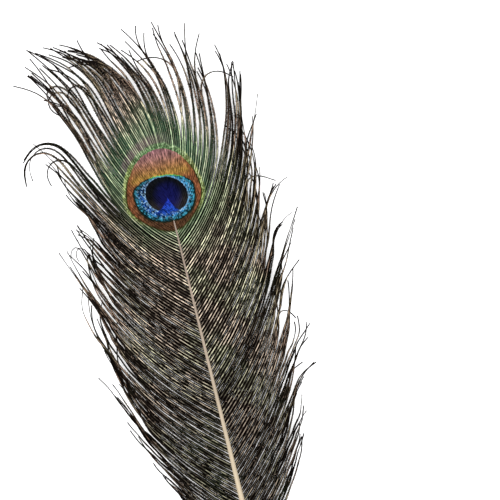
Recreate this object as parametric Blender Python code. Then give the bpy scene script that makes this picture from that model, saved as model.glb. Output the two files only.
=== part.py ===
"""Peacock's eye feather, lying on a surface with its glossy face up.

A feather grows as one piece, so the part is one solid. It has a tapering shaft, the dense eye of the vane round
the shaft's tip, and loose barbs on both sides that stick together in locks. Each lock is one long tapering blade
along the middle line that its barbs follow.

Frame: x to the right, y from the quill to the tip, z up. The origin is on the surface, below the eye's centre.
"""

import math

import bpy
import bmesh
import numpy as np

MM = 0.001

# Shaft: places along y, and the shaft's radius there.
VANE_START = -172 * MM
SHAFT_TIP = 14 * MM
SHAFT_PLACES = np.array([-202, -199, -190, -172, -110, -60, -20, 14]) * MM
SHAFT_RADII = np.array([0.75, 1.35, 1.7, 1.6, 1.15, 0.8, 0.5, 0.3]) * MM
SHAFT_CLEARANCE = 0.12 * MM
SHAFT_POINTS = 23

# Eye: the dense part of the vane is a thin egg, pointed at the V where the barbs part from the shaft.
EYE_HALF_WIDTH = 21.5 * MM
EYE_HALF_LENGTH = 28.5 * MM
EYE_MIDDLE = 3.5 * MM
EYE_POINT = 0.24
EYE_THICKNESS = 1.0 * MM
EYE_OUTLINE_POINTS = 44

# Barbs. Each row is one place on the shaft: its y in mm, how far a barb that starts there leans from the tip's
# direction at its start, middle and end, how much further its last part sweeps out, all in degrees, and its
# length in mm.
LEFT_FLOW = (
    (-172, 46, 38, 24, 0, 60),
    (-140, 50, 33, 9, 0, 101),
    (-105, 50, 33, 9, 2, 104),
    (-75, 49, 34, 13, 4, 87),
    (-50, 48, 34, 20, 5, 86),
    (-42, 47, 29, 20, 9, 97),
    (-38, 47, 28, 20, 10, 100),
    (-32, 50, 16, 19, 16, 99),
    (-31, 54, 7, 8, 21, 102),
    (-27, 54, 5, 9, 22, 104),
    (-18, 50, 5, 14, 25, 105),
    (-10, 40, 5, 14, 30, 101),
    (-2, 28, 7, 18, 36, 92),
    (6, 12, 16, 27, 38, 80),
    (12, 3, 21, 30, 36, 71),
)
RIGHT_FLOW = (
    (-172, 46, 38, 24, 0, 60),
    (-140, 48, 34, 20, 6, 86),
    (-105, 48, 33, 14, 8, 98),
    (-75, 47, 33, 12, 4, 100),
    (-50, 46, 32, 8, 0, 102),
    (-34, 50, 26, 0, 0, 104),
    (-27, 54, 14, -6, 0, 100),
    (-18, 50, 5, -10, -2, 96),
    (-10, 40, -2, -15, -8, 90),
    (-2, 28, -10, -22, -18, 81),
    (6, 12, -16, -28, -26, 73),
    (12, 3, -20, -30, -32, 68),
)
SWEEP_FROM = 0.6

# Locks: the distance from one to the next along the shaft, at places along y.
LOCK_PLACES = np.array([-172, -75, -30, -10, 12]) * MM
LOCK_SPACINGS = np.array([9.2, 7.2, 5.0, 4.4, 4.2]) * MM
FIRST_LOCK = VANE_START + 3 * MM
LAST_LOCK = 12 * MM
LOOSE_FROM, LOOSE_TO = -20 * MM, -42 * MM

# How the locks differ from the smooth flow: length, bend in degrees, slow sway, and a hook at the tip.
SEEDS = {-1: 11, 1: 23}
SCALE = (0.91, 1.05)
BEND_SPREAD = 2.2
SWAY = (-6, 6)
EYE_SWAY = 0.35
SWAY_TURNS = 1.1
HOOKS = (0, 10, -12, 20, -24, 48, -40)
EYE_HOOK = 0.2
HOOK_SHARE = (0.5, 1)
HOOK_FROM = (0.7, 0.82)

# Heights: barbs lie level with the eye, arch up between shaft and tip, and end a little above the surface.
VANE_LEVEL = 0.85 * MM
EYE_ARCH = (0.3, 1.6)
LOOSE_ARCH = (1.0, 5.5)
TIP_LIFT = (0.0, 3.0)

# Locks on the left that are shaped by hand, by where they start: two long ones curl right back at their tips.
SHAPED_LOCKS = {
    -71 * MM: {"hook": 8},
    -40 * MM: {"scale": 1.08, "bend": -3, "sway": 0, "hook": 150, "hook_from": 0.7, "arch": 4.5 * MM, "lift": 3.5 * MM},
    -34 * MM: {"scale": 1.0, "bend": 2, "sway": 2, "hook": 100, "hook_from": 0.72, "arch": 3 * MM, "lift": 2 * MM},
}

# Blades: the flat diamond of a lock's cross-section at its widest, and its share of that along its length.
BLADE_WIDTH = 4.8 * MM
BLADE_THICKNESS = 1.1 * MM
BLADE_PLACES = (0.0, 0.15, 0.5, 0.85, 1.0)
BLADE_SHARES = (0.7, 0.9, 1.0, 0.62, 0.16)
BLADE_POINTS = 15

VANE_COLOUR = (0.075, 0.06, 0.035, 1)


def ease(value):
    """A smooth step from 0 to 1 as the value goes from 0 to 1."""
    value = np.clip(value, 0, 1)
    return value * value * (3 - 2 * value)


def lock_roots():
    """The places along the shaft where the locks start, each one local spacing from the last."""
    roots = []
    place = FIRST_LOCK
    while place < LAST_LOCK:
        roots.append(place)
        place += np.interp(place, LOCK_PLACES, LOCK_SPACINGS)
    return np.array(roots)


def looseness(root):
    """0 where the barbs hold together in the eye, rising to 1 where they are loose."""
    return ease((LOOSE_FROM - root) / (LOOSE_FROM - LOOSE_TO))


def locks(side):
    """Where the locks of one side start, and how each one differs from the smooth flow, as arrays."""
    random = np.random.default_rng(SEEDS[side])
    root = lock_roots()
    count = len(root)
    loose = looseness(root)
    lock = {
        "root": root,
        "scale": random.uniform(*SCALE, count),
        "bend": random.normal(0, BEND_SPREAD, count),
        "sway": random.uniform(*SWAY, count) * (EYE_SWAY + loose),
        "phase": random.uniform(0, math.tau, count),
        "hook": random.choice(HOOKS, count) * random.uniform(*HOOK_SHARE, count),
        "hook_from": random.uniform(*HOOK_FROM, count),
        "arch": random.uniform(*EYE_ARCH, count) * MM,
        "lift": random.uniform(*TIP_LIFT, count) * MM,
    }
    lock["hook"] *= EYE_HOOK + (1 - EYE_HOOK) * loose
    lock["arch"] += loose * (random.uniform(*LOOSE_ARCH, count) * MM - lock["arch"])
    if side < 0:
        for place, values in SHAPED_LOCKS.items():
            shaped = np.argmin(abs(root - place))
            for name, value in values.items():
                lock[name][shaped] = value
    return lock


def shaft_radius(place):
    """The shaft's radius at places along y."""
    return np.interp(place, SHAFT_PLACES, SHAFT_RADII)


def flow_paths(side, lock, count):
    """Middle lines of the locks, as an array of lock, point and x, y, z.

    A line's lean from the tip's direction is a smooth blend of its start, middle and end values, plus the sweep
    and the hook of its last part and a slow sway. Its points are the sum of equal steps along that direction.
    """
    rows = np.array(LEFT_FLOW if side < 0 else RIGHT_FLOW, dtype=float)
    root = lock["root"][:, None]
    start, middle, end, sweep, length = (
        np.interp(root, rows[:, 0] * MM, rows[:, column]) for column in range(1, 6)
    )
    u = np.linspace(0, 1, count)[None, :]
    item = {name: values[:, None] for name, values in lock.items()}
    lean = start * (1 - u) ** 2 + 2 * middle * u * (1 - u) + end * u**2
    lean = lean + sweep * ease((u - SWEEP_FROM) / (1 - SWEEP_FROM))
    lean = lean + item["bend"] * u + item["sway"] * u * np.sin(math.tau * SWAY_TURNS * u + item["phase"])
    lean = lean + item["hook"] * ease((u - item["hook_from"]) / (1 - item["hook_from"]))
    lean = np.radians((lean[:, 1:] + lean[:, :-1]) / 2)
    step = length * MM * item["scale"] / (count - 1)
    x = side * np.cumsum(np.sin(lean) * step, axis=1)
    y = root + np.cumsum(np.cos(lean) * step, axis=1)
    x = np.concatenate([0 * root, x], axis=1)
    y = np.concatenate([root, y], axis=1)
    return np.stack([x, y, flow_heights(item, root, u)], axis=2)


def flow_heights(item, root, u):
    """Heights along the middle lines: from the shaft's middle to the vane's level, over an arch, to a lifted tip.

    A loose lock's arch is highest at two thirds of its length and one in the eye's at three quarters. The factors
    make both arches 1 high there.
    """
    loose = looseness(root)
    early_arch = 27 / 4 * u**2 * (1 - u)
    late_arch = 256 / 27 * u**3 * (1 - u)
    arch = item["arch"] * (loose * early_arch + (1 - loose) * late_arch)
    at_shaft = SHAFT_CLEARANCE + shaft_radius(root) - VANE_LEVEL
    return VANE_LEVEL + at_shaft * (1 - u) ** 4 + arch + item["lift"] * u**3


def new_collection(name):
    """An empty collection in the scene."""
    collection = bpy.data.collections.new(name)
    bpy.context.scene.collection.children.link(collection)
    return collection


def new_curve(name, collection, dimensions="3D"):
    """A curve object with no splines yet."""
    data = bpy.data.curves.new(name, "CURVE")
    data.dimensions = dimensions
    data.use_fill_caps = True
    curve = bpy.data.objects.new(name, data)
    collection.objects.link(curve)
    return curve


def add_spline(curve, points, radii, cyclic=False):
    """Add one straight-sided spline through the points, with the curve's section scaled by the radii."""
    spline = curve.data.splines.new("POLY")
    spline.points.add(len(points) - 1)
    spline.use_cyclic_u = cyclic
    for target, point, radius in zip(spline.points, points, radii):
        target.co = (*point, 1)
        target.radius = radius


def curve_to_mesh(curve):
    """Replace a curve object by a closed mesh object of the same name."""
    name = curve.name
    evaluated = curve.evaluated_get(bpy.context.evaluated_depsgraph_get())
    mesh = bpy.data.meshes.new_from_object(evaluated)
    work = bmesh.new()
    work.from_mesh(mesh)
    bmesh.ops.remove_doubles(work, verts=work.verts, dist=0.001 * MM)
    bmesh.ops.recalc_face_normals(work, faces=work.faces)
    work.to_mesh(mesh)
    work.free()
    solid = bpy.data.objects.new(name, mesh)
    solid.matrix_world = curve.matrix_world
    curve.users_collection[0].objects.link(solid)
    bpy.data.objects.remove(curve)
    solid.name = name
    return solid


def make_shaft(collection):
    """The shaft: a round rod that tapers to the eye, with its underside just above the surface."""
    shaft = new_curve("shaft", collection)
    shaft.data.bevel_depth = 1 * MM
    shaft.data.bevel_resolution = 2
    vane_places = np.linspace(VANE_START, SHAFT_TIP, SHAFT_POINTS)
    quill_places = SHAFT_PLACES[SHAFT_PLACES < VANE_START]
    places = np.concatenate([quill_places, vane_places])
    radii = shaft_radius(places)
    points = [(0, place, SHAFT_CLEARANCE + radius) for place, radius in zip(places, radii)]
    add_spline(shaft, points, radii / MM)
    return curve_to_mesh(shaft)


def make_eye(collection):
    """The dense eye of the vane: a thin flat egg whose underside lies on the surface."""
    eye = new_curve("eye", collection, dimensions="2D")
    eye.data.fill_mode = "BOTH"
    eye.data.extrude = EYE_THICKNESS / 2
    turn = np.linspace(0, math.tau, EYE_OUTLINE_POINTS, endpoint=False)
    narrowing = 1 - EYE_POINT * (1 - np.cos(turn))
    x = EYE_HALF_WIDTH * np.sin(turn) * narrowing / (1 - EYE_POINT)
    y = EYE_MIDDLE + EYE_HALF_LENGTH * np.cos(turn)
    points = [(across, along, 0) for across, along in zip(x, y)]
    add_spline(eye, points, [1] * len(points), cyclic=True)
    eye.location.z = EYE_THICKNESS / 2
    bpy.context.view_layer.update()
    return curve_to_mesh(eye)


def make_section(collection):
    """The flat diamond that a lock's blade has as its cross-section."""
    section = new_curve("lock_section", collection, dimensions="2D")
    section.data.fill_mode = "NONE"
    corners = [
        (BLADE_WIDTH / 2, 0, 0),
        (0, BLADE_THICKNESS / 2, 0),
        (-BLADE_WIDTH / 2, 0, 0),
        (0, -BLADE_THICKNESS / 2, 0),
    ]
    add_spline(section, corners, [1] * len(corners), cyclic=True)
    return section


def make_locks(collection):
    """All locks of both sides: tapering blades along the middle lines, still separate bodies."""
    blades = new_curve("locks", collection)
    blades.data.twist_mode = "Z_UP"
    blades.data.bevel_mode = "OBJECT"
    section = make_section(collection)
    blades.data.bevel_object = section
    shares = np.interp(np.linspace(0, 1, BLADE_POINTS), BLADE_PLACES, BLADE_SHARES)
    for side in (-1, 1):
        for path in flow_paths(side, locks(side), BLADE_POINTS):
            add_spline(blades, path, shares)
    solid = curve_to_mesh(blades)
    bpy.data.objects.remove(section)
    return solid


def hide(guide):
    """Mark a solid that is only there to be joined into another."""
    guide.hide_render = True
    guide.display_type = "WIRE"


def join(solid, other):
    """Fuse another solid into this one, with the bodies that overlap inside it."""
    union = solid.modifiers.new("join_" + other.name, "BOOLEAN")
    union.operation = "UNION"
    union.solver = "EXACT"
    union.use_self = True
    union.object = other
    hide(other)


def vane_material():
    """Dark, slightly glossy green-brown of the barbs."""
    material = bpy.data.materials.new("vane")
    material.use_nodes = True
    shader = material.node_tree.nodes["Principled BSDF"]
    shader.inputs["Base Color"].default_value = VANE_COLOUR
    shader.inputs["Roughness"].default_value = 0.5
    shader.inputs["Metallic"].default_value = 0.2
    return material


def build():
    """Make the feather as one solid: shaft, eye and locks fused."""
    for old in list(bpy.data.objects):
        bpy.data.objects.remove(old)
    parts = new_collection("peacock_feather")
    guides = new_collection("joined_pieces")
    feather = make_shaft(parts)
    feather.name = "feather"
    join(feather, make_eye(guides))
    join(feather, make_locks(guides))
    feather.data.materials.clear()
    feather.data.materials.append(vane_material())


build()
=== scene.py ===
"""Peacock's eye feather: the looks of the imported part.

The file is laid out as an add-on and run as a script. Its pieces stand for the part's one solid, "feather": the shaft,
the barbs of the eye, the loose barbs of each side and their barbules. They follow the same flow as the solid's locks.

Frame: x to the right, y from the quill to the tip, z up. The origin is on the surface, below the eye's centre.
"""

import math
from functools import partialmethod
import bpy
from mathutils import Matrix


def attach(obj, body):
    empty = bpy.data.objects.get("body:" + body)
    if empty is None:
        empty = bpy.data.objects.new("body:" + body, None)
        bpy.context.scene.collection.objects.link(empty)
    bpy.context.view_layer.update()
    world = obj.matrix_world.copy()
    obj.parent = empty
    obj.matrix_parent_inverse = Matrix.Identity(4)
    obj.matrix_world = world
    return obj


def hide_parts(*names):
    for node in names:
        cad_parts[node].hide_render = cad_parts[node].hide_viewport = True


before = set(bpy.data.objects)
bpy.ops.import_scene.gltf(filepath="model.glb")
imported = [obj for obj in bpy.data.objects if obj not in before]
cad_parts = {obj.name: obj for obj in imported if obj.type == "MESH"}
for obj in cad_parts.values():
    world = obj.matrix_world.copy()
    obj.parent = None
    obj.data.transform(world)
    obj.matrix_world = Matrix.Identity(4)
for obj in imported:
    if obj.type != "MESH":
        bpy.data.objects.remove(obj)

from types import SimpleNamespace

import bpy
import numpy as np
from bpy.props import FloatProperty, FloatVectorProperty, PointerProperty

bl_info = {
    "name": "Peacock feather",
    "version": (1, 0, 0),
    "blender": (4, 5, 0),
    "location": "3D View > Sidebar > Feather",
    "description": "Adds the shaft, barbs and barbules of a peacock's eye feather, and a stage to look at it",
    "category": "Add Mesh",
}

MM = 0.001
NODE = "feather"
BODY = "root"

# Shaft: places along y, and the shaft's radius there.
VANE_START = -172 * MM
SHAFT_TIP = 14 * MM
SHAFT_PLACES = np.array([-202, -199, -190, -172, -110, -60, -20, 14]) * MM
SHAFT_RADII = np.array([0.75, 1.35, 1.7, 1.6, 1.15, 0.8, 0.5, 0.3]) * MM
SHAFT_CLEARANCE = 0.12 * MM

# Flow of the barbs. Each row is one place on the shaft: its y in mm, how far a barb that starts there leans from
# the tip's direction at its start, middle and end, how much further its last part sweeps out, all in degrees, and
# its length in mm. The rows are the solid's, with one more at the shaft's very tip.
LEFT_FLOW = (
    (-172, 46, 38, 24, 0, 60),
    (-140, 50, 33, 9, 0, 101),
    (-105, 50, 33, 9, 2, 104),
    (-75, 49, 34, 13, 4, 87),
    (-50, 48, 34, 20, 5, 86),
    (-42, 47, 29, 20, 9, 97),
    (-38, 47, 28, 20, 10, 100),
    (-32, 50, 16, 19, 16, 99),
    (-31, 54, 7, 8, 21, 102),
    (-27, 54, 5, 9, 22, 104),
    (-18, 50, 5, 14, 25, 105),
    (-10, 40, 5, 14, 30, 101),
    (-2, 28, 7, 18, 36, 92),
    (6, 12, 16, 27, 38, 80),
    (12, 3, 21, 30, 36, 71),
    (14, -1, 21, 30, 34, 69),
)
RIGHT_FLOW = (
    (-172, 46, 38, 24, 0, 60),
    (-140, 48, 34, 20, 6, 86),
    (-105, 48, 33, 14, 8, 98),
    (-75, 47, 33, 12, 4, 100),
    (-50, 46, 32, 8, 0, 102),
    (-34, 50, 26, 0, 0, 104),
    (-27, 54, 14, -6, 0, 100),
    (-18, 50, 5, -10, -2, 96),
    (-10, 40, -2, -15, -8, 90),
    (-2, 28, -10, -22, -18, 81),
    (6, 12, -16, -28, -26, 73),
    (12, 3, -20, -30, -32, 68),
    (14, 0, -20, -30, -32, 66),
)
SWEEP_FROM = 0.6

# Locks, as in the solid: where they start, and how each differs from the smooth flow. Its length is scaled, it bends
# and sways by degrees, its tip hooks by degrees from a share of its length on, and it arches and lifts its tip by mm.
LOCK_PLACES = np.array([-172, -75, -30, -10, 12]) * MM
LOCK_SPACINGS = np.array([9.2, 7.2, 5.0, 4.4, 4.2]) * MM
FIRST_LOCK = VANE_START + 3 * MM
LAST_LOCK = 12 * MM
LOOSE_FROM, LOOSE_TO = -20 * MM, -42 * MM
LOCK_SEEDS = {-1: 11, 1: 23}
SCALE = (0.91, 1.05)
BEND_SPREAD = 2.2
SWAY = (-6, 6)
EYE_SWAY = 0.35
SWAY_TURNS = 1.1
HOOKS = (0, 10, -12, 20, -24, 48, -40)
EYE_HOOK = 0.2
HOOK_SHARE = (0.5, 1)
HOOK_FROM = (0.7, 0.82)
VANE_LEVEL = 0.85 * MM
EYE_ARCH = (0.3, 1.6)
LOOSE_ARCH = (1.0, 5.5)
TIP_LIFT = (0.0, 3.0)

# Locks on the left that are shaped one by one, by where they start in mm. Two curl right back at their tips: a lock
# whose hook is over CURLED counts as curled.
SHAPED_LOCKS = {
    -71: {"hook": 8},
    -40: {"scale": 1.08, "bend": -3, "sway": 0, "hook": 150, "hook_from": 0.7, "arch": 4.5 * MM, "lift": 3.5 * MM},
    -34: {"scale": 1.0, "bend": 2, "sway": 2, "hook": 100, "hook_from": 0.72, "arch": 3 * MM, "lift": 2 * MM},
}
CURLED = 90

# Barbs: the distance from one to the next along the shaft, at places along y, and the points on each. The eye's barbs
# start above EYE_ROOT, and the lower vane begins at DEEP_FROM and is fully itself at DEEP_TO.
BARB_PLACES = np.array([-172, -75, -27, -20, 12]) * MM
BARB_SPACINGS = np.array([2.3, 1.9, 1.55, 1.12, 1.0]) * MM
BARB_SEEDS = {-1: 5, 1: 8}
BARB_POINTS = 46
EYE_ROOT = -33 * MM
DEEP_FROM, DEEP_TO = EYE_ROOT - 12 * MM, EYE_ROOT - 32 * MM

# Barbs that end in a loop, by side: where each starts in mm, how far its tip turns in degrees, from which share of its
# length, and how much longer it is.
LOOPS = {
    -1: (
        (-87, 185, 0.85, 1.16), (-85, 165, 0.87, 1.14), (-15, 200, 0.7, 1),
        (-12, 235, 0.7, 1), (-8, 180, 0.7, 1), (3, -60, 0.7, 1),
    ),
    1: ((-60, 120, 0.7, 1), (-20, 140, 0.7, 1)),
}

# How a barb joins its lock: over which shares of its length its own differences and the pull to the lock set in, the
# most that the pull may be, how tight a curled lock is, and what is left of a stray's pull.
OWN_OVER, PULL_OVER = 0.6, 0.48
MOST_PULL, MOST_CURLED_PULL = 0.84, 0.95
CURLED_TIGHT = 3
STRAY_PULL = 0.2

# Half widths of a barb's blade and rib along its length, as shares of the full ones. Barbules end at THREAD_FROM.
BLADE_ALONG = (0.0, 0.05, 0.3, 0.6, 0.8, 0.88, 1.0)
BLADE_SHARES = (1.0, 1.1, 1.0, 0.8, 0.54, 0.4, 0.24)
RIB_SHARES = (1.3, 1.15, 1.0, 0.9, 0.8, 0.7, 0.5)
THREAD_FROM = 0.87

# A barb's shade times this, less its whole part, tells how broad its rib is and how bright its painted glint is.
APART = 37.7

# The map "barb": where the rib's crest is, and its units to a metre of barb. Then the distance from one stripe across a
# barb to the next, and the tints of the ribs' patches.
CREST_AT = 0.3
MAP_SCALE = 10
STRIPE = 0.28 * MM
BROWNER = (1.06, 0.96, 0.9, 1.0)
GREENER = (0.97, 1.04, 0.87, 1.0)

# Barbules: how many stand along each edge of a barb, half the length of a barbule's foot, how far the foot is from the
# barb's middle line, and how thick it is. The eye's barbs have none in an ellipse of this half width, half height and
# middle in y, in mm.
BARBULE_STEPS = 205
FOOT_HALF = 0.2 * MM
FOOT_OUT = 0.15 * MM
FOOT_THICK = 0.05 * MM
BARE_EYE = (22, 25, 2)

# Lowest and highest place of the barbs' middle lines, and of the barbules' corners.
LINE_HEIGHTS = (0.2 * MM, 7.1 * MM)
BARBULE_HEIGHTS = (0.05 * MM, 7.5 * MM)

# Outlines of the eye's zones in mm, seen from above. An egg's numbers are its half width, its height above and below
# its middle, and how round it is above and below, where 2 is an ellipse and more is squarer.
BRONZE_EGG = (17.5, 23.3, 16.0, 2.0, 1.55)
RING_EGG = (13.8, 6.7, 14.2, 2.0, 2.4)
PUPIL_EGG = (9.7, 8.1, 8.7, 2.0, 2.3)
NOTCH_TOP = -2.1

# Colours of the bronze zone, by height in mm.
BRONZE_TONES = (
    (-18, "bronze_low"), (-8, "bronze_low"), (-2, "bronze_side"), (5, "bronze_side"),
    (8.5, "bronze_gold"), (12, "bronze_orange"), (16, "bronze_rose"), (21, "bronze_top"),
)

# Stage: half the floor's side, where the lamp is and its size, and the middle and turn of the camera's view.
WHITE = (1, 1, 1, 1)
FLOOR_HALF = 1.2
LAMP_PLACE = (-0.45, 0.5, 0.9)
LAMP_SIZE = 0.5
VIEW_PLACE = (30.8 * MM, -35.0 * MM)
VIEW_TURN = math.radians(-13.7)


def channel_to_linear(value):
    """One channel of a screen colour, from 0 to 255, as the shaders' linear value from 0 to 1."""
    value /= 255
    return value / 12.92 if value <= 0.04045 else ((value + 0.055) / 1.055) ** 2.4


def colour_property(name, description, value):
    """One colour setting, given as linear red, green and blue."""
    return FloatVectorProperty(name=name, description=description, subtype="COLOR", size=3, default=value, min=0, max=1)


def share_property(name, description, value, most):
    """One setting that is a share, from 0 to the most that it may be."""
    return FloatProperty(name=name, description=description, default=value, min=0, max=most, subtype="FACTOR")


def length_property(name, description, value, low, high):
    """One size setting with its limits, given in millimetres."""
    return FloatProperty(
        name=name, description=description, default=value * MM, min=low * MM, max=high * MM, unit="LENGTH", precision=5
    )


class ShaftSettings(bpy.types.PropertyGroup):
    """Sizes and colours of the shaft."""

    quill_colour: colour_property("Quill", "Colour of the bare quill end", (0.54, 0.45, 0.31))
    tip_colour: colour_property("Tip", "Colour of the shaft where it runs into the eye", (0.25, 0.19, 0.15))
    groove: share_property("Groove", "Depth of the groove under the shaft, as a share of its radius", 0.2, 0.5)


class VaneSettings(bpy.types.PropertyGroup):
    """Sizes of the barbs and barbules."""

    eye_half_width: length_property("Eye barbs", "Half the width of a barb's blade inside the eye", 0.6, 0.1, 1)
    loose_half_width: length_property("Loose barbs", "Half the width of a loose barb's blade", 0.72, 0.1, 1)
    rib_half_width: length_property("Rib", "Half the width of the rib along a barb's middle", 0.15, 0.02, 0.3)
    thread_half_width: length_property("Thread", "Half the width of a barb's bare end", 0.35, 0.02, 0.5)
    clump: share_property("Clumping", "How far the outer ends of barbs gather into locks", 0.55, 1)
    barbule_length: length_property("Barbules", "Length of the barbules of loose barbs", 0.95, 0.1, 2)
    barbule_angle: FloatProperty(
        name="Barbule angle", description="How far the barbules turn out from their barb",
        default=math.radians(48), min=0, max=math.radians(90), subtype="ANGLE",
    )


# Colours of the vane, from the middle of the eye outwards: what each is for, and its red, green and blue to 255.
VANE_COLOURS = {
    "pupil": ("Near-black middle of the eye", 12, 14, 18),
    "pupil_low": ("Brownish lower ends of the pupil", 34, 32, 32),
    "glow": ("Violet glow in the pupil, round the notch", 15, 17, 62),
    "notch": ("Blue notch in the pupil's lower edge", 29, 48, 146),
    "notch_low": ("Where the notch runs into the blue ring", 25, 56, 135),
    "ring_left": ("Blue of the ring beside the pupil", 32, 67, 122),
    "ring_right": ("Brighter blue of the ring's right side", 40, 97, 131),
    "ring_edge": ("Turquoise of the ring's outer part", 36, 97, 115),
    # Painted glints in the blue ring and round the pupil.
    "ring_light": ("Pale flecks in the ring", 135, 171, 198),
    "ring_line": ("Dark line round the ring", 22, 31, 23),
    "ring_green": ("Bright green line over the ring", 86, 162, 76),
    "bronze_gold": ("Golden bronze just above the ring", 126, 97, 47),
    "bronze_orange": ("Orange-brown above the gold", 126, 89, 60),
    "bronze_rose": ("Rose-brown of the bronze zone's upper part", 122, 87, 81),
    "bronze_top": ("Purplish rose at the top", 115, 82, 89),
    "bronze_side": ("Rust of the bronze zone's sides", 102, 62, 40),
    "bronze_low": ("Dark rust-brown below the ring", 62, 42, 28),
    "outline": ("Dark line round the bronze zone", 47, 47, 22),
    "green": ("Green ring round the bronze zone", 98, 136, 88),
    "green_side": ("Yellow-green of the ring's sides", 138, 156, 82),
    "lilac": ("Lilac-brown band above the green ring", 104, 84, 90),
    "field": ("Grey-green of the barbs beyond the bands", 46, 76, 56),
    "barb": ("Dark brown of the loose barbs", 12, 9, 7),
    "barb_light": ("Violet-brown patches of the loose barbs", 23, 17, 14),
    "barb_green": ("Faint green of the loose barbs", 26, 36, 22),
    # Painted shade that fills the gaps between the ribs.
    "edge": ("Near-black of the barbules between the ribs", 4, 3, 3),
    "rib": ("Pale ribs of the loose barbs", 208, 198, 182),
    "rib_green": ("Grey-green ribs of the barbs beyond the bands", 170, 188, 158),
    "strand": ("Brown ribs of the barbs' outer parts", 144, 126, 112),
    "thread": ("Bare ends of the barbs", 24, 20, 18),
    "back": ("Dull brown back of the vane", 74, 59, 47),
}


class EyeColours(bpy.types.PropertyGroup):
    """Colours of the vane, one for each row of the table above."""

    __annotations__ = {
        key: colour_property(key.replace("_", " ").capitalize(), use, [channel_to_linear(value) for value in screen])
        for key, (use, *screen) in VANE_COLOURS.items()
    }


class StageSettings(bpy.types.PropertyGroup):
    """Floor, light and camera."""

    view_width: length_property("View width", "Width of what the camera sees at the feather", 230, 50, 1000)
    camera_height: length_property("Camera height", "Height of the camera above the feather", 1000, 300, 3000)
    floor_glow: FloatProperty(
        name="Floor glow", description="Light that the floor itself gives, which softens shadows",
        default=0.42, min=0, max=2,
    )
    sky: FloatProperty(name="Sky", description="Strength of the even light from all round", default=1.5, min=0, max=5)
    lamp: FloatProperty(
        name="Lamp", description="Power of the large soft lamp", default=2.5, min=0, max=500, unit="POWER"
    )


# Flow of the barbs


def ease(value):
    """A smooth step from 0 to 1 as the value goes from 0 to 1."""
    value = np.clip(value, 0, 1)
    return value * value * (3 - 2 * value)


def places_along(start, end, places, spacings):
    """Places from start to end, each one local spacing from the last, as a column."""
    found = []
    place = start
    while place < end:
        found.append(place)
        place += np.interp(place, places, spacings)
    return np.array(found)[:, None]


def looseness(root):
    """0 where the barbs hold together in the eye, rising to 1 where they are loose."""
    return ease((LOOSE_FROM - root) / (LOOSE_FROM - LOOSE_TO))


def deepness(root):
    """0 near the eye, rising to 1 in the lower vane."""
    return ease((DEEP_FROM - root) / (DEEP_FROM - DEEP_TO))


def locks(side):
    """Where the locks of one side start, and how each one differs from the smooth flow, as columns."""
    random = np.random.default_rng(LOCK_SEEDS[side])
    root = places_along(FIRST_LOCK, LAST_LOCK, LOCK_PLACES, LOCK_SPACINGS)
    shape = root.shape
    loose = looseness(root)
    lock = {
        "root": root,
        "scale": random.uniform(*SCALE, shape),
        "bend": random.normal(0, BEND_SPREAD, shape),
        "sway": random.uniform(*SWAY, shape) * (EYE_SWAY + loose),
        "phase": random.uniform(0, math.tau, shape),
        "hook": random.choice(HOOKS, shape) * random.uniform(*HOOK_SHARE, shape),
        "hook_from": random.uniform(*HOOK_FROM, shape),
        "arch": random.uniform(*EYE_ARCH, shape) * MM,
        "lift": random.uniform(*TIP_LIFT, shape) * MM,
    }
    lock["hook"] *= EYE_HOOK + (1 - EYE_HOOK) * loose
    lock["arch"] += loose * (random.uniform(*LOOSE_ARCH, shape) * MM - lock["arch"])
    if side < 0:
        for place, values in SHAPED_LOCKS.items():
            shaped = abs(root - place * MM).argmin()
            for name, value in values.items():
                lock[name][shaped] = value
    return lock


def shaft_radius(place):
    """The shaft's radius at places along y."""
    return np.interp(place, SHAFT_PLACES, SHAFT_RADII)


def flow_paths(side, lock):
    """Middle lines of locks or barbs, as an array of line, point and x, y, z.

    A line's lean from the tip's direction is a smooth blend of its start, middle and end values, plus the sweep and
    the hook of its last part, an even bend and a slow sway. Its points are the sum of equal steps along it.
    """
    places, *columns = np.array(LEFT_FLOW if side < 0 else RIGHT_FLOW, dtype=float).T
    root = lock["root"]
    start, middle, end, sweep, length = (np.interp(root, places * MM, column) for column in columns)
    u = np.linspace(0, 1, BARB_POINTS)
    lean = start * (1 - u) ** 2 + 2 * middle * u * (1 - u) + end * u**2
    lean = lean + sweep * ease((u - SWEEP_FROM) / (1 - SWEEP_FROM))
    lean = lean + lock["bend"] * u + lock["sway"] * u * np.sin(math.tau * SWAY_TURNS * u + lock["phase"])
    lean = lean + lock["hook"] * ease((u - lock["hook_from"]) / (1 - lock["hook_from"]))
    lean = np.radians((lean[:, 1:] + lean[:, :-1]) / 2)
    step = length * MM * lock["scale"] / (BARB_POINTS - 1)
    x = side * np.cumsum(np.sin(lean) * step, axis=1)
    y = root + np.cumsum(np.cos(lean) * step, axis=1)
    x = np.concatenate([0 * root, x], axis=1)
    y = np.concatenate([root, y], axis=1)
    return np.stack([x, y, flow_heights(lock, u)], axis=2)


def flow_heights(lock, u):
    """Heights along the middle lines: from the shaft's middle to the vane's level, over an arch, to a lifted tip."""
    root = lock["root"]
    loose = looseness(root)
    early_arch = 27 / 4 * u**2 * (1 - u)
    late_arch = 256 / 27 * u**3 * (1 - u)
    arch = lock["arch"] * (loose * early_arch + (1 - loose) * late_arch)
    at_shaft = SHAFT_CLEARANCE + shaft_radius(root) - VANE_LEVEL
    return VANE_LEVEL + at_shaft * (1 - u) ** 4 + arch + lock["lift"] * u**3


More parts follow.
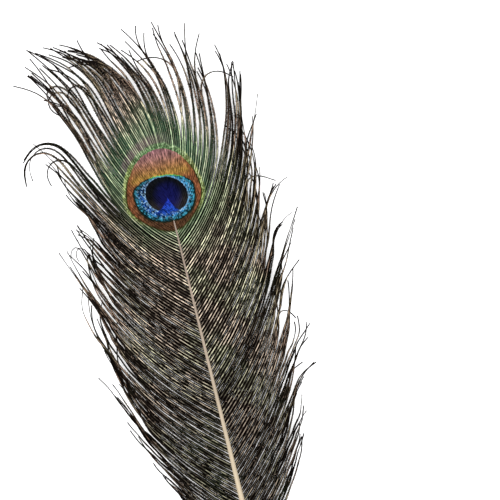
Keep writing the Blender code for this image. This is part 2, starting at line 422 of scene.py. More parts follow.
def barb_lines(side, clump):
    """Middle lines of one side's barbs, with where each starts and the random numbers to go on with.

    A barb starts on the smooth flow, and takes on the differences of its nearest lock and some of its own, of which
    strays have more. Its outer part is drawn to the lock's middle line by its pull times a smooth step: mostly
    sideways, so that it keeps its length, but fully in a curled lock. A fine ripple goes over it.
    """
    random = np.random.default_rng(BARB_SEEDS[side])
    lock = locks(side)
    root = places_along(VANE_START, SHAFT_TIP - 0.2 * MM, BARB_PLACES, BARB_SPACINGS)
    shape = root.shape
    root = root + random.uniform(0, 0.35, shape) * MM * looseness(root)
    nearest = abs(root - lock["root"].T).argmin(axis=1)
    loose, deep = looseness(root), deepness(root)
    stray = random.random(shape) < 0.05 + 0.12 * (1 - loose)
    wild = np.where(stray, 1, 0.5 - 0.16 * loose)
    barb = {name: values[nearest] for name, values in lock.items()}
    barb["root"] = root
    barb["scale"] *= 1.03 - 0.04 * deep - (0.13 + 0.07 * deep) * random.random(shape)
    barb["bend"] += np.clip(random.normal(0, 7, shape), -9, 9) * wild
    barb["sway"] += random.normal(0, 1, shape) * (5.5 - 2.3 * loose)
    barb["phase"] += random.uniform(-1.6, 1.6, shape)
    barb["hook"] += random.normal(0, 45, shape) * wild
    barb["lift"] += random.uniform(0, 1, shape) * MM * wild
    for place, hook, hook_from, longer in LOOPS[side]:
        looped = abs(root - place * MM).argmin()
        barb["hook"][looped], barb["hook_from"][looped], stray[looped] = hook, hook_from, True
        barb["scale"][looped] *= longer
    plain = dict(barb, scale=np.ones(shape), **{name: np.zeros(shape) for name in ("bend", "sway", "phase", "hook")})
    smooth, own = flow_paths(side, plain), flow_paths(side, barb)
    leader = flow_paths(side, lock)[nearest]
    u = np.linspace(0, 1, BARB_POINTS)
    own_from = 0.3 - 0.12 * loose + 0.24 * deep
    paths = smooth + ease((u - own_from) / OWN_OVER)[:, :, None] * (own - smooth)
    curled = lock["hook"] > CURLED
    tight = np.where(curled, CURLED_TIGHT, random.uniform(0.5, 1.5, curled.shape))[nearest]
    curled = curled[nearest]
    most = np.where(curled, MOST_CURLED_PULL, MOST_PULL)
    pull = np.minimum(clump * tight * random.uniform(0.6, 1.2, shape), most) * np.where(stray, STRAY_PULL, 1)
    pull_from = 0.42 - 0.08 * loose + 0.16 * deep
    ahead = np.gradient(leader, axis=1)
    ahead /= np.linalg.norm(ahead, axis=2, keepdims=True)
    towards = leader - paths
    own_reach = np.where(curled, 0.1, 0.8)[:, :, None]
    towards -= own_reach * (towards * ahead).sum(axis=2, keepdims=True) * ahead
    paths += (pull * ease((u - pull_from) / PULL_OVER))[:, :, None] * towards
    turns = random.uniform(3, 7, shape) * u + random.random(shape)
    ripple = random.uniform(0.06, 0.2, shape) * (0.3 + 0.7 * loose) * MM * np.sin(math.tau * turns)
    paths[:, :, 0] += ripple * ease(u * 4)
    paths[:, :, 2] += random.uniform(-0.25, 0.35, shape) * MM * ease(u * 2)
    paths[:, :, 2] += 0.2 * shaft_radius(root) * (1 - u) ** 12
    paths[:, :, 2] = np.clip(paths[:, :, 2], *LINE_HEIGHTS)
    return root, paths, random


def directions(paths, roll):
    """Unit vectors along, across and above each line, with the last two rolled about the first.

    Across is the level direction to the right of travel, and above is square to both before the roll.
    """
    along = np.gradient(paths, axis=1)
    along /= np.linalg.norm(along, axis=2, keepdims=True)
    across = np.stack([along[:, :, 1], -along[:, :, 0], 0 * along[:, :, 0]], axis=2)
    across /= np.linalg.norm(across, axis=2, keepdims=True)
    above = np.cross(across, along)
    turn_cos, turn_sin = np.cos(roll)[:, :, None], np.sin(roll)[:, :, None]
    return along, across * turn_cos + above * turn_sin, above * turn_cos - across * turn_sin


# Meshes


def add_object(name, data):
    """Put a mesh, lamp or camera in the scene, at the origin."""
    new_object = bpy.data.objects.new(name, data)
    bpy.context.scene.collection.objects.link(new_object)
    return new_object


def new_piece(name, vertices, faces, material, smooth=False):
    """A mesh piece that rides on the part's body and stands for its solid."""
    mesh = bpy.data.meshes.new(name)
    mesh.from_pydata(vertices, [], faces, shade_flat=not smooth)
    mesh.validate()
    mesh.materials.append(material)
    piece = add_object(name, mesh)
    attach(piece, BODY)
    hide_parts(NODE)
    return piece


def add_map(piece, name, coordinates):
    """A UV map with one pair of coordinates for each corner of each face."""
    layer = piece.data.uv_layers.new(name=name)
    layer.data.foreach_set("uv", coordinates.astype(np.float32).ravel())


def add_values(piece, name, values):
    """A number for each vertex, which materials read as an attribute."""
    attribute = piece.data.attributes.new(name, "FLOAT", "POINT")
    attribute.data.foreach_set("value", values.astype(np.float32).ravel())


def add_flat_map(piece, vertices, faces, strip=0, strips=1):
    """The map that a bake fills: each face's corners seen from above, fitted into its own upright strip of the map."""
    low, high = vertices[:, :2].min(0), vertices[:, :2].max(0)
    share = (vertices[faces][:, :, :2] - low) / (high - low)
    share[:, :, 0] = (np.reshape(strip, (-1, 1)) + 0.01 + 0.98 * share[:, :, 0]) / strips
    add_map(piece, "OFBake", share)


def tube_quads(lines, points, columns):
    """Quads round and along tubes of so many points, with so many corners at each, and each quad's column."""
    line, point, column = np.meshgrid(np.arange(lines), np.arange(points - 1), np.arange(columns), indexing="ij")
    beside = (column + 1) % columns
    ring = (line * points + point) * columns
    quads = np.stack([ring + column, ring + beside, ring + columns + beside, ring + columns + column], axis=-1)
    return quads.reshape(-1, 4), column.ravel()


def six_sided_ends(lines, points):
    """The quads that close both ends of six-sided tubes."""
    first = np.arange(lines)[:, None] * points * 6
    last = first + (points - 1) * 6
    ends = [first + [3, 2, 1, 0], first + [5, 4, 3, 0], last + [0, 1, 2, 3], last + [0, 3, 4, 5]]
    return np.stack(ends, axis=1).reshape(-1, 4)


def barb_tubes(side, in_eye, settings):
    """One side's barbs, the eye's or the others: rings of six corners, and the values that each ring has.

    The corners are the blade's two thin edges, the two feet and the crest of the rib above it, and a low keel below.
    The blade's half width is its share times a random one near 1, so that its edges are uneven, and at least a
    thread's. The rib's is its share times a strength that goes with the barb's shade. The blade is rolled a little
    towards the tip, loose barbs twist and wave, and the section gets rounder towards the end.
    """
    root, paths, random = barb_lines(side, settings.clump)
    loose = looseness(root)
    count = len(root)
    u = np.linspace(0, 1, BARB_POINTS)
    twist = random.uniform(-40, 40, (count, 1)) * ease((u - 0.3) / 0.5) * (0.3 + 0.7 * loose)
    wave = 35 * loose * np.sin(math.tau * (random.uniform(1.5, 3.5, (count, 1)) * u + random.random((count, 1))))
    roll = np.radians(side * -10 * (1 - ease((u - 0.5) / 0.3)) + twist + wave * ease(u * 3))
    along, across, above = directions(paths, roll)
    ragged = random.uniform(0.78, 1.12, (count, BARB_POINTS))
    ragged = 1 + (ragged - 1) * (0.25 + 0.75 * loose)
    full = settings.eye_half_width + loose * (settings.loose_half_width - settings.eye_half_width)
    full = full * (1 - 0.3 * (1 - loose) * ease((u - 0.35) / 0.2))
    half = full * np.interp(u, BLADE_ALONG, BLADE_SHARES) * ragged
    half = np.maximum(half, settings.thread_half_width * (1.2 - 0.4 * u))
    thirds = np.arange(0, count + 3, 3)
    groups = np.interp(np.arange(count), thirds, random.random(len(thirds)))
    shade = (0.5 * groups + 0.5 * random.random(count))[:, None]
    strong = 0.85 + 0.3 * ease(2 * (shade * APART % 1) - 0.5)
    rib = np.minimum(settings.rib_half_width * strong * np.interp(u, BLADE_ALONG, RIB_SHARES), 0.45 * half)
    round_end = ease((u - 0.5) / 0.3)
    crest = 0.8 * rib + (0.75 * half - 0.8 * rib) * round_end
    keel = rib + (0.75 * half - rib) * round_end
    zero = 0 * half
    section = [(-half, zero), (-rib, 0.25 * rib), (zero, crest), (rib, 0.25 * rib), (half, zero), (zero, -keel)]
    corners = [paths + across * right[:, :, None] + above * up[:, :, None] for right, up in section]
    distance = np.cumsum(np.linalg.norm(np.diff(paths, axis=1, prepend=paths[:, :1]), axis=2), axis=1)
    shift = random.normal(0, 0.12, (count, 1))
    values = {"distance": distance, "loose": loose, "shade": shade, "shift": shift, "along": u}
    kept = (root[:, 0] > EYE_ROOT) == in_eye
    return {"ring": np.stack(corners, axis=2)[kept], **{name: (value + zero)[kept] for name, value in values.items()}}


def make_barbs(name, sides, in_eye, settings, material):
    """The eye's barbs or the others, of one or both sides, as one piece of closed flat tubes.

    The map "barb" has the place round the section, with the rib's crest at CREST_AT and the keel at 0.8, and the
    distance along the barb. The bake's strips are the left blade, the rib and right blade, and the underside.
    """
    tubes = [barb_tubes(side, in_eye, settings) for side in sides]
    tubes = {key: np.concatenate([tube[key] for tube in tubes]) for key in tubes[0]}
    vertices = tubes["ring"].reshape(-1, 3)
    lines = len(tubes["ring"])
    quads, column = tube_quads(lines, BARB_POINTS, 6)
    ends = six_sided_ends(lines, BARB_POINTS)
    faces = np.concatenate([quads, ends])
    piece = new_piece(name, vertices, faces, material)
    stops = np.array([0, 0.2, CREST_AT, 0.4, 0.6, 0.8, 1.0])
    across = stops[column[:, None] + [0, 1, 1, 0]]
    across = np.concatenate([across, np.full((len(ends), 4), 0.1)])
    distance = np.repeat(tubes["distance"].ravel(), 6)[faces]
    add_map(piece, "barb", np.stack([across, distance * MAP_SCALE], axis=2))
    strip = np.concatenate([np.array([0, 1, 1, 0, 2, 2])[column], np.zeros(len(ends), int)])
    add_flat_map(piece, vertices, faces, strip, 3)
    for attribute in ("loose", "shade", "shift", "along"):
        add_values(piece, attribute, np.repeat(tubes[attribute].ravel(), 6))
    return piece


def make_barbules(name, side, settings, material):
    """The barbules of one side's barbs outside the eye, as one piece of slim closed wedges with four faces.

    They stand in even steps along both edges of each barb. A wedge's foot lies along the barb and its point is the
    barbule's length away, in the barb's own direction turned outwards by the barbule angle and a little up or down.
    They are longest on loose barbs and in the fan above the eye, and shorter near a barb's ends and low down.
    """
    root, paths, random = barb_lines(side, settings.clump)
    count = len(root)
    shape = (count, BARBULE_STEPS, 2)
    u = np.linspace(0.02, THREAD_FROM, BARBULE_STEPS)[:, None] + random.uniform(-0.001, 0.001, shape)
    line = np.arange(count)[:, None, None]
    before = np.floor(u * (BARB_POINTS - 1)).astype(int)
    part = (u * (BARB_POINTS - 1) - before)[..., None]

    def between(values):
        """Values where the barbules stand, from those at the barbs' points on either side."""
        return values[line, before] * (1 - part) + values[line, before + 1] * part

    base, forward, right, up = map(between, (paths, *directions(paths, 0 * paths[:, :, 0])))
    outward = np.array([[-1], [1]])
    root = root[:, :, None]
    loose, deep = looseness(root), deepness(root)
    angle = settings.barbule_angle + random.normal(0, 0.14, shape)
    tilt = random.normal(-0.25, 0.2, shape)[..., None]
    open_share = np.maximum(loose, 0.9 * ease((u - 0.38) / 0.25))
    length = settings.barbule_length * (0.62 + 0.38 * open_share)
    length = length * np.interp(u, (0, 0.06, 0.75, THREAD_FROM), (0.7, 1, 0.9, 0.4))
    length = length * (1 - 0.5 * deep * ease((u - 0.4) / 0.3))
    length = (length * random.uniform(0.75, 1.25, shape))[..., None]
    direction = forward * np.cos(angle)[..., None] + right * outward * np.sin(angle)[..., None] + up * tilt
    foot = base + right * outward * FOOT_OUT
    half_foot = forward * FOOT_HALF
    corners = [foot - half_foot, foot + half_foot, foot + up * FOOT_THICK, foot + direction * length]
    half_width, half_height, middle = BARE_EYE
    x, y = base[..., 0] / MM, base[..., 1] / MM
    in_eye = (x / half_width) ** 2 + ((y - middle) / half_height) ** 2 < 1
    kept = ~((root > EYE_ROOT) & in_eye)
    points = np.stack(corners, axis=3)[kept]
    points[..., 2] = np.clip(points[..., 2], *BARBULE_HEIGHTS)
    vertices = points.reshape(-1, 3)
    wedge = np.array([[0, 3, 2], [1, 2, 3], [0, 1, 3], [0, 2, 1]])
    wedges = np.stack([wedge, wedge[:, ::-1]])
    faces = (np.arange(len(points))[:, None, None] * 4 + wedges[np.nonzero(kept)[2]]).reshape(-1, 3)
    piece = new_piece(name, vertices, faces, material)
    add_flat_map(piece, vertices, faces)
    for attribute, values in (("loose", np.broadcast_to(loose, shape)), ("shade", random.random(shape)), ("along", u)):
        add_values(piece, attribute, np.repeat(values[kept], 4))
    return piece


def make_shaft(settings, material):
    """The shaft: a tube whose section is a circle of the local radius with a groove pressed into its underside.

    Both ends are closed by triangles that meet in a point. Above the quill the shaft gets a little slimmer than the
    solid's, and past the V of the eye it thins and sinks, so that the barbs cover it.
    """
    columns = 24
    stretches = ((-202, -199, 7), (-199, -172, 19), (-172, -14, 80), (-14, 14, 30))
    places = np.unique(np.concatenate([np.linspace(*stretch) for stretch in stretches]))[:, None] * MM
    thinned = 1 - 0.65 * ease((places + 14.5 * MM) / (3 * MM))
    radius = shaft_radius(places) * np.interp(places, (-190 * MM, -120 * MM), (1, 0.8)) * thinned
    centre = SHAFT_CLEARANCE + shaft_radius(places) * thinned
    turn = np.arange(columns) / columns * math.tau
    groove = 1 - settings.groove * np.exp(-(((turn - math.pi) / 0.45) ** 2))
    x = radius * np.sin(turn) * groove
    z = centre + radius * np.cos(turn) * groove
    rings = np.stack([x, places + 0 * x, z], axis=2)
    start = (0, places[0, 0] - 0.12 * MM, centre[0, 0])
    end = (0, places[-1, 0] + 0.3 * MM, centre[-1, 0])
    vertices = np.concatenate([rings.reshape(-1, 3), [start, end]])
    quads, column = tube_quads(1, len(places), columns)
    around = np.arange(columns)
    beside = (around + 1) % columns
    last = (len(places) - 1) * columns
    points = np.full(columns, last + columns)
    ends = np.concatenate([[points, beside, around], [points + 1, last + around, last + beside]], axis=1).T
    triangles = np.concatenate([quads[:, [0, 1, 2]], quads[:, [0, 2, 3]], ends])
    return new_piece("shaft", vertices, triangles, material, smooth=True)


# Materials


class Value:
    """A node's output. Arithmetic with it, or with it and plain numbers, adds Math nodes and gives their output."""

    def __init__(self, paint, socket):
        self.paint, self.socket = paint, socket

    def maths(self, operation, *others):
        """The result of one Math node, with this value first."""
        return self.paint.node("Math", dict(enumerate((self, *others))), operation=operation)

    def __rsub__(self, other):
        return self * -1.0 + other

    __add__ = __radd__ = partialmethod(maths, "ADD")
    __sub__ = partialmethod(maths, "SUBTRACT")
    __mul__ = __rmul__ = partialmethod(maths, "MULTIPLY")
    __truediv__ = partialmethod(maths, "DIVIDE")
    __abs__ = partialmethod(maths, "ABSOLUTE")


class Painter:
    """Adds the nodes of one material. Its methods take values or plain numbers, and return a value."""

    def __init__(self, name):
        self.material = bpy.data.materials.new(name)
        self.material.use_nodes = True
        self.tree = self.material.node_tree
        self.shader = self.tree.nodes["Principled BSDF"]

    def feed(self, node, inputs):
        """Link each of a node's inputs, by name or number, to a value, or write the plain number or colour on it."""
        for key, value in inputs.items():
            if isinstance(value, Value):
                self.tree.links.new(value.socket, node.inputs[key])
            else:
                node.inputs[key].default_value = value

    def node(self, kind, inputs, output=0, **settings):
        """A new node with these inputs and settings, of which one output is returned."""
        node = self.tree.nodes.new("ShaderNode" + kind)
        for name, setting in settings.items():
            setattr(node, name, setting)
        self.feed(node, inputs)
        return Value(self, node.outputs[output])

    def step(self, value, low, high):
        """0 below low and 1 above high, smooth between. It falls where low is above high."""
        ends = (1.0, 0.0) if low > high else (0.0, 1.0)
        inputs = dict(enumerate((value, min(low, high), max(low, high), *ends)))
        return self.node("MapRange", inputs, interpolation_type="SMOOTHSTEP")

    def mix(self, share, first, second, blend="MIX"):
        """The first colour where the share is 0 and the second where it is 1."""
        inputs = {"Factor": share, 6: first, 7: second}
        return self.node("Mix", inputs, 2, data_type="RGBA", blend_type=blend)

    def dye(self, colour, level):
        """A colour times a level or times another colour."""
        return self.mix(1.0, colour, level if isinstance(level, Value) else opaque((level,) * 3), "MULTIPLY")

    def ramp(self, value, low, high, stops):
        """Colours blended along a value, from (place, colour) pairs."""
        blended = self.node("ValToRGB", {0: (value - low) / (high - low)})
        elements = blended.socket.node.color_ramp.elements
        while len(elements) < len(stops):
            elements.new(0.5)
        for element, (place, colour) in zip(elements, stops):
            element.position = (place - low) / (high - low)
            element.color = colour
        return blended

    def noise(self, vector, scale, detail=2.0):
        """Smooth noise, mostly from 0.3 to 0.7, with blots about 1 / scale wide."""
        return self.node("TexNoise", {"Vector": vector, "Scale": scale, "Detail": detail}, "Fac")

    def attribute(self, name):
        """A number that the mesh holds for each of its vertices."""
        return self.node("Attribute", {}, "Fac", attribute_name=name)

    def scaled(self, vector, scale):
        """A vector times a scale along each axis."""
        return self.node("Mapping", {"Vector": vector, "Scale": scale})

    def place(self):
        """Object coordinates in millimetres."""
        return self.scaled(self.node("TexCoord", {}, "Object"), (1 / MM,) * 3)

    def split(self, vector):
        """The x and y of a vector."""
        x = self.node("SeparateXYZ", {0: vector})
        return x, Value(self, x.socket.node.outputs[1])

    def egg(self, x, y, half_width, above, below, round_above, round_below):
        """How far out a point is in an egg, 1 on its outline: the larger of its upper and its lower half's value.

        That is the root, by the half's roundness, of the sum of x over half width and y over height to that power.
        """
        across = abs(x) / half_width
        halves = []
        for y, height, power in ((y, above, round_above), (y * -1.0, below, round_below)):
            along = y.maths("MAXIMUM", 0.0) / height
            total = across.maths("POWER", power) + along.maths("POWER", power)
            halves.append(total.maths("POWER", 1 / power))
        return halves[0].maths("MAXIMUM", halves[1])

    def bump(self, height, strength, distance):
        """Bumps of the whole surface, by a height pattern."""
        bumps = self.node("Bump", {"Height": height, "Strength": strength, "Distance": distance})
        self.feed(self.shader, {"Normal": bumps})


def opaque(colour):
    """A colour with full opacity, as sockets want it."""
    return (*colour, 1.0)


def eye_spot(paint, shift):
    """Where a spot of the vane is: its place in mm, also as x and y with a rough edge, and its value in each egg.

    The bronze zone's middle line bends with the square of y, and the ring and the pupil are tilted. The notch's value
    is over 0 between two flanks, which stand off by a slope times the depth below its top, plus a bend times its
    square.
    """
    place = paint.place()
    x, height = paint.split(place)
    rough = (paint.noise(place, 1.6) - 0.5) * 0.5
    x, y = x + rough, height + (shift + rough)
    middle = x - (y * y * 0.003 - 1.6)
    depth = (NOTCH_TOP - y).maths("MAXIMUM", 0.0)
    left_flank = x + 0.3 + depth * (depth * 0.12 + 0.35)
    right_flank = depth * (depth * 0.05 + 0.2) - (x + 0.3)
    return SimpleNamespace(
        place=place, height=height, x=x, y=y, flank=paint.step(abs(middle), 9, 15),
        bronze=paint.egg(middle, y + 2.5, *BRONZE_EGG),
        ring=paint.egg(x + 1.3, y + (x * 0.059 - 1.0), *RING_EGG),
        pupil=paint.egg(x + 0.4, y + (x * 0.12 + 0.8), *PUPIL_EGG),
        notch=left_flank.maths("MINIMUM", right_flank),
    )


def paint_loose(paint, spot, tone):
    """Dark brown of the loose barbs, with broad violet-brown patches and some faint green."""
    light = paint.step(paint.noise(spot.place, 0.09, 3.0), 0.42, 0.62)
    green = paint.step(paint.noise(spot.place, 0.05), 0.5, 0.7) * 0.6
    return paint.mix(green, paint.mix(light, tone.barb, tone.barb_light), tone.barb_green)


def paint_surround(paint, spot, tone, loose):
    """Round the bronze zone: the field, the lilac band, the green ring and the dark line, from outside in.

    The field fades into the loose colour further out, and fast beside and below the eye.
    """
    step, mix, bronze, y = paint.step, paint.mix, spot.bronze, spot.y
    fade = step(bronze, 2.3, 1.3) * step(y, -6, 14)
    near = step(bronze, 1.5, 1.05) * (0.3 + 0.45 * step(y, -24, -10))
    colour = mix(fade.maths("MAXIMUM", near), loose, tone.field)
    lilac = step(bronze, 1.34, 1.2) * (step(y, 9, 18) * step(spot.x, 14, -6))
    colour = mix(lilac * 0.85, colour, tone.lilac)
    grain = paint.noise(spot.place, 1.2, 1.0)
    green = mix(spot.flank, tone.green, tone.green_side)
    green = mix(step(grain, 0.42, 0.6), paint.dye(green, 0.3), green)
    green = mix(step(grain, 0.6, 0.7) * 0.35, green, tone.rib)
    green = mix(step(y, -6, -13) * 0.75, green, loose)
    colour = mix(step(bronze, 1.11, 1.07), colour, green)
    return mix(step(bronze, 1.02, 1.0) * step(y, 16, 6), colour, tone.outline)


def paint_bronze(paint, spot, tone):
    """Bronze zone: its tones by height, rust at its sides, and fine upright streaks."""
    tones = [(height, getattr(tone, name)) for height, name in BRONZE_TONES]
    colour = paint.ramp(spot.y, -20, 24, tones)
    colour = paint.mix(spot.flank * paint.step(spot.bronze, 0.8, 0.98), colour, tone.bronze_side)
    streaks = paint.noise(paint.scaled(spot.place, (1, 0.25, 1)), 2.0, 1.0)
    return paint.dye(colour, 0.6 + 1.1 * paint.step(streaks, 0.33, 0.67))


def paint_ring(paint, spot, tone, speckle):
    """Blue ring: brighter on the right, turquoise at its edge, speckled, and dark in its upper left corner.

    Painted glints lie in it: pale flecks, and a faint pale line round the pupil.
    """
    step, mix, x, ring = paint.step, paint.mix, spot.x, spot.ring
    colour = mix(step(x, -2, 9), tone.ring_left, tone.ring_right)
    colour = mix(step(ring, 0.78, 0.95), colour, tone.ring_edge)
    colour = paint.dye(colour, 0.16 + 1.55 * speckle)
    colour = mix(step(spot.y, -2, 4) * step(x, -4, -9) * 0.5, colour, tone.ring_line)
    # Painted glints: pale flecks in the ring, then a faint pale line round the pupil.
    glint_flecks = step(paint.noise(spot.place, 1.1, 1.0), 0.56, 0.62) * step(ring, 1.0, 0.75)
    colour = mix(glint_flecks * 0.85, colour, tone.ring_light)
    return mix(step(spot.pupil, 1.06, 1.03) * 0.28, colour, tone.ring_light)


def paint_pupil(paint, spot, tone):
    """Pupil: near-black, brownish in its lower lobes, with a violet glow round the notch."""
    colour = paint.mix(paint.step(spot.y, 0, -6), tone.pupil, tone.pupil_low)
    glow_x, glow_y = (spot.x + 0.1) / 6.0, (spot.y + 2.0) / 6.5
    return paint.mix(paint.step(glow_x * glow_x + glow_y * glow_y, 1.6, 0.0), colour, tone.glow)


def paint_vane(paint, colours, shift):
    """The vane's colour at each spot, with the colour settings and the spot itself.

    Each zone is painted over the one around it, from the surround in to the notch. Barbs that start lower down and
    only pass near the eye keep their loose colour.
    """
    step, mix = paint.step, paint.mix
    tone = SimpleNamespace(**{key: opaque(getattr(colours, key)) for key in VANE_COLOURS})
    spot = eye_spot(paint, shift)
    loose = paint_loose(paint, spot, tone)
    colour = paint_surround(paint, spot, tone, loose)
    colour = mix(step(spot.bronze, 0.985, 0.965), colour, paint_bronze(paint, spot, tone))
    over = step(spot.y, 4, 5) * (step(spot.x, -7, -5) * step(spot.x, 9, 7.5))
    colour = mix(step(spot.ring, 1.06, 1.03), colour, mix(over, tone.ring_line, tone.ring_green))
    speckle = step(paint.noise(spot.place, 0.9, 1.0), 0.38, 0.62)
    colour = mix(step(spot.ring, 1.0, 0.985), colour, paint_ring(paint, spot, tone, speckle))
    colour = mix(step(spot.pupil, 1.0, 0.97), colour, paint_pupil(paint, spot, tone))
    notch = paint.dye(mix(step(spot.y, -4, -9), tone.notch, tone.notch_low), 0.5 + 0.85 * speckle)
    colour = mix(step(spot.notch, 0.0, 0.5) * step(spot.ring, 0.85, 0.7), colour, notch)
    return mix(step(paint.attribute("loose"), 0.35, 0.8), colour, loose), tone, spot


def vane_material(colours):
    """Barbs: the eye's colours with a lighter rib, uneven edges, bare dark threads and a dull brown back."""
    paint = Painter("vane_barbs")
    step, mix, dye = paint.step, paint.mix, paint.dye
    colour, tone, spot = paint_vane(paint, colours, paint.attribute("shift"))
    bronze, height = spot.bronze, spot.height
    across, distance = paint.split(paint.node("UVMap", {}, uv_map="barb"))
    off_rib = abs(across - CREST_AT)
    shade, along = paint.attribute("shade"), paint.attribute("along")
    # Each barb is a little lighter or darker, also along its length, and finely striped across. Its edges are painted
    # darker, as shade between the barbs.
    own_place = paint.node("CombineXYZ", {0: distance * 55, 1: shade * 90})
    mottle = paint.noise(own_place, 0.6, 1.0)
    streaks = step(paint.noise(own_place, 0.7), 0.36, 0.64)
    stripes = (distance * (math.tau / (STRIPE * MAP_SCALE)) + off_rib * 14).maths("SINE")
    level = 0.15 + 0.75 * (shade + streaks)
    blade = dye(colour, level * (1.12 - 0.4 * step(off_rib, 0.12, 0.3)) * (1 + 0.12 * stripes))
    # Ribs are pale, and brown in their outer part. Each barb's is painted paler or darker than the next,
    # as a glint that each catches differently.
    pale = mix(step(bronze, 2.0, 1.2) * 0.8, tone.rib, tone.rib_green)
    pale = mix(step(along, 0.4, 0.7), pale, tone.strand)
    rib_glint = 2 * step((shade * APART).maths("FRACT"), 0.25, 0.75) - 1
    pale = dye(pale, 1 + (0.48 + 0.42 * step(along, 0.2, 0.5)) * rib_glint)
    # They are browner or greener in broad patches, duller towards the quill, and brighter beside the lower eye. Their
    # painted glints are broken into dashes.
    pale = dye(pale, mix(step(paint.noise(spot.place, 0.045), 0.42, 0.58), BROWNER, GREENER))
    pale = dye(pale, 0.35 + 0.65 * step(height, -120, -45))
    glint_breaks = 1 - step(mottle, 0.6, 0.4) * (0.5 + 0.35 * step(bronze, 1.3, 2.0))
    pale = mix(glint_breaks, tone.barb, pale)
    lower = step(height, 6, -12) * step(bronze, 2.4, 1.6)
    pale = dye(pale, 1 + 0.35 * lower)
    # Close to the eye they take on some of its colour, and inside it they are only a lighter shade of the zone.
    early = step(along, 0.32, 0.14) * step(height, -24, -14)
    pale = mix(step(bronze, 2.0, 1.2) * (0.06 + 0.34 * early), pale, colour)
    rib = mix(step(bronze, 0.99, 1.04) * 0.85, dye(colour, 1.3), pale)
    # Painted shade: the blade turns near-black towards its edges, between the ribs.
    painted_edge_shade = step(off_rib, 0.14, 0.28).maths("MAXIMUM", step(off_rib, 0.1, 0.17) * lower)
    blade = mix(painted_edge_shade * (step(bronze, 1.07, 1.14) * 0.95), blade, tone.edge)
    surface = mix(step(off_rib, 0.11, 0.09), blade, rib)
    surface = mix(step(along, 0.84, 0.9), surface, tone.thread)
    back = mix(0.75, dye(colour, 0.5), tone.back)
    surface = mix(step(across, 0.59, 0.61), surface, back)
    shine = step(bronze, 1.25, 1.0) * 0.5
    finish = {"Base Color": surface, "Metallic": shine, "Roughness": 0.5, "Specular IOR Level": 0.0}
    paint.feed(paint.shader, finish)
    paint.bump(stripes, 0.25, 0.04 * MM)
    return paint.material


def barbule_material(colours):
    """Barbules: the colour of the barbs where they stand, darker, each with its own shade.

    A few carry a painted glint, as pale as the ribs. There are more of them in the fan, and none on the outer part
    of the loose barbs.
    """
    paint = Painter("barbules")
    colour, tone, _ = paint_vane(paint, colours, 0.0)
    shade = paint.attribute("shade")
    fan = paint.step(paint.attribute("loose"), 0.8, 0.35)
    # Painted glints on a few barbules.
    often = paint.step(shade + fan * 0.16, 0.92, 0.96)
    glint = often * fan.maths("MAXIMUM", paint.step(paint.attribute("along"), 0.7, 0.5))
    surface = paint.mix(glint, paint.dye(colour, 0.2 + 0.5 * shade), tone.strand)
    paint.feed(paint.shader, {"Base Color": surface, "Roughness": 0.6, "Specular IOR Level": 0.0})
    return paint.material


def shaft_material(settings):
    """Horn of the shaft: cream at the quill, browner towards the eye, with fine streaks along it."""
    paint = Painter("shaft_horn")
    place = paint.place()
    x, height = paint.split(place)
    grain = paint.noise(paint.scaled(place, (3, 0.06, 3)), 1.0, 4.0)
    share = paint.step(height, -190, -15)
    colour = paint.mix(share, opaque(settings.quill_colour), opaque(settings.tip_colour))
    paint.feed(paint.shader, {"Base Color": paint.dye(colour, 0.7 + 0.6 * grain), "Roughness": 0.35})
    paint.bump(grain, 0.3, 0.05 * MM)
    return paint.material


# Stage


def floor_material(settings):
    """White paper with a faint grain, which glows a little so that the shadows on it stay soft."""
    paint = Painter("paper")
    grain = paint.noise(paint.place(), 0.4, 3.0)
    paint.feed(paint.shader, {
        "Base Color": paint.mix(grain, (0.86, 0.86, 0.87, 1), (0.9, 0.9, 0.9, 1)),
        "Emission Color": WHITE,
        "Emission Strength": settings.floor_glow,
        "Roughness": 0.9,
        "Specular IOR Level": 0.1,
    })
    return paint.material


def make_stage(settings):
    """A pale floor, an even sky, a large soft lamp, and the camera straight above.

    The camera's angle is twice the arc tangent of half the view's width over the camera's height.
    """
    scene = bpy.context.scene
    scene.view_settings.view_transform = "Standard"
    mesh = bpy.data.meshes.new("floor")
    corners = [(x * FLOOR_HALF, y * FLOOR_HALF, 0) for x, y in ((-1, -1), (1, -1), (1, 1), (-1, 1))]
    mesh.from_pydata(corners, [], [(0, 1, 2, 3)])
    mesh.materials.append(floor_material(settings))
    add_object("floor", mesh)
    world = bpy.data.worlds.new("sky")
    world.use_nodes = True
    background = world.node_tree.nodes["Background"]
    background.inputs["Color"].default_value = WHITE
    background.inputs["Strength"].default_value = settings.sky
    scene.world = world
    light = bpy.data.lights.new("lamp", "AREA")
    light.energy, light.shape, light.size = settings.lamp, "DISK", LAMP_SIZE
    lamp = add_object("lamp", light)
    lamp.location = LAMP_PLACE
    lamp.rotation_euler = lamp.location.to_track_quat("Z", "Y").to_euler()
    lens = bpy.data.cameras.new("camera")
    lens.angle = 2 * math.atan(settings.view_width / 2 / settings.camera_height)
    lens.clip_start = 0.01
    camera = add_object("camera", lens)
    camera.location = (*VIEW_PLACE, settings.camera_height)
    camera.rotation_euler = (0, 0, VIEW_TURN)
    scene.camera = camera


# Operators


class FEATHER_OT_add_shaft(bpy.types.Operator):
    """Add the feather's shaft, from the bare quill to its tip in the eye"""

    bl_idname = "feather.add_shaft"
    bl_label = "Add shaft"

    def execute(self, context):
        settings = context.scene.feather_shaft
        make_shaft(settings, shaft_material(settings))
        return {"FINISHED"}


class FEATHER_OT_add_barbs(bpy.types.Operator):
    """Add the barbs of the eye and the loose barbs of both sides"""

    bl_idname = "feather.add_barbs"
    bl_label = "Add barbs"

    def execute(self, context):
        settings = context.scene.feather_vane
        material = vane_material(context.scene.feather_colours)
        make_barbs("loose_barbs_left", (-1,), False, settings, material)
        make_barbs("loose_barbs_right", (1,), False, settings, material)
        make_barbs("eye_vane", (-1, 1), True, settings, material)
        return {"FINISHED"}


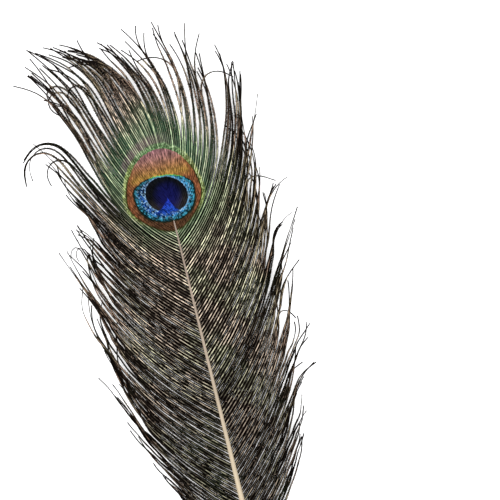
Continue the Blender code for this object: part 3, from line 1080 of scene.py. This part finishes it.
class FEATHER_OT_add_barbules(bpy.types.Operator):
    """Add the fringe of barbules along the barbs outside the eye"""

    bl_idname = "feather.add_barbules"
    bl_label = "Add barbules"

    def execute(self, context):
        settings = context.scene.feather_vane
        material = barbule_material(context.scene.feather_colours)
        make_barbules("barbules_left", -1, settings, material)
        make_barbules("barbules_right", 1, settings, material)
        return {"FINISHED"}


class FEATHER_OT_add_stage(bpy.types.Operator):
    """Add the floor, the light and the camera"""

    bl_idname = "feather.add_stage"
    bl_label = "Add stage"

    def execute(self, context):
        make_stage(context.scene.feather_stage)
        return {"FINISHED"}


class FEATHER_PT_panel(bpy.types.Panel):
    """The feather's settings and operators in the sidebar"""

    bl_idname = "FEATHER_PT_panel"
    bl_label = "Peacock feather"
    bl_space_type = "VIEW_3D"
    bl_region_type = "UI"
    bl_category = "Feather"

    def draw(self, context):
        for group, (_, *operators) in GROUPS.items():
            box = self.layout.box()
            settings = getattr(context.scene, group)
            for name in settings.__annotations__:
                box.prop(settings, name)
            for operator in operators:
                box.operator(operator.bl_idname)


# The settings on the scene, and the operators that use them.
GROUPS = {
    "feather_shaft": (ShaftSettings, FEATHER_OT_add_shaft),
    "feather_vane": (VaneSettings, FEATHER_OT_add_barbs, FEATHER_OT_add_barbules),
    "feather_colours": (EyeColours,),
    "feather_stage": (StageSettings, FEATHER_OT_add_stage),
}
CLASSES = [cls for classes in GROUPS.values() for cls in classes] + [FEATHER_PT_panel]


def register():
    """Register the classes and hang the settings on the scene."""
    for cls in CLASSES:
        bpy.utils.register_class(cls)
    for name, (settings, *_) in GROUPS.items():
        setattr(bpy.types.Scene, name, PointerProperty(type=settings))


def unregister():
    """Undo register."""
    for name in GROUPS:
        delattr(bpy.types.Scene, name)
    for cls in reversed(CLASSES):
        bpy.utils.unregister_class(cls)


def main():
    """Make the whole scene."""
    register()
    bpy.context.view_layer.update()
    bpy.ops.feather.add_stage()
    bpy.ops.feather.add_shaft()
    bpy.ops.feather.add_barbs()
    bpy.ops.feather.add_barbules()


if __name__ == "__main__":
    main()
